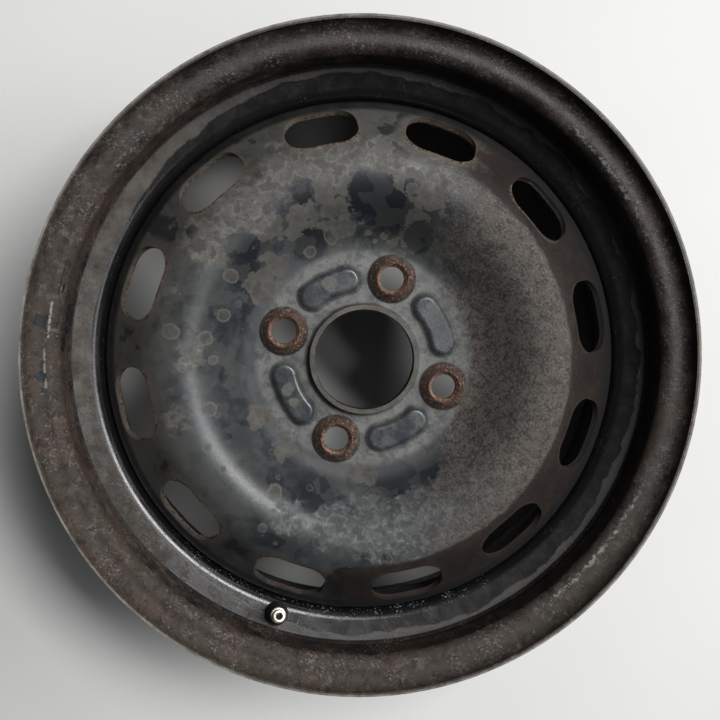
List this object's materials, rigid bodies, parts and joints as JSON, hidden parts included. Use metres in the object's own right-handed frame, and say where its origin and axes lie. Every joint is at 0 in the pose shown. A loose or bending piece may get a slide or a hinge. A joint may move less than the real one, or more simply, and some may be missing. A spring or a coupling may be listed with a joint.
{
  "type": "steel wheel rim",
  "caption": "Rusty black steel car wheel rim without its tyre, with oval vents round the disc, a collared centre bore, raised stud seats and a rubber tyre valve.",
  "frame": {"origin": "centre of the bore in the plane of the face that meets the hub", "axes": "+Z along the wheel's axis, outboard; +X through a stud hole"},
  "size_m": [0.4148, 0.4146, 0.178],
  "materials": {
    "barrel_steel": "worn black paint over pressed steel, with matte brown rust and dust",
    "disc_steel": "worn blue-black paint over pressed steel, with chalky blotches and rust",
    "weld_steel": "painted weld beads with rust",
    "valve_rubber": "matte moulded rubber with grime",
    "valve_metal": "dull nickel plate over brass"
  },
  "bodies": {
    "root": {"rim_barrel": "barrel_steel", "wheel_disc": "disc_steel", "disc_welds": "weld_steel", "valve_body": "valve_rubber", "valve_stem": "valve_metal"}
  },
  "joints": []
}
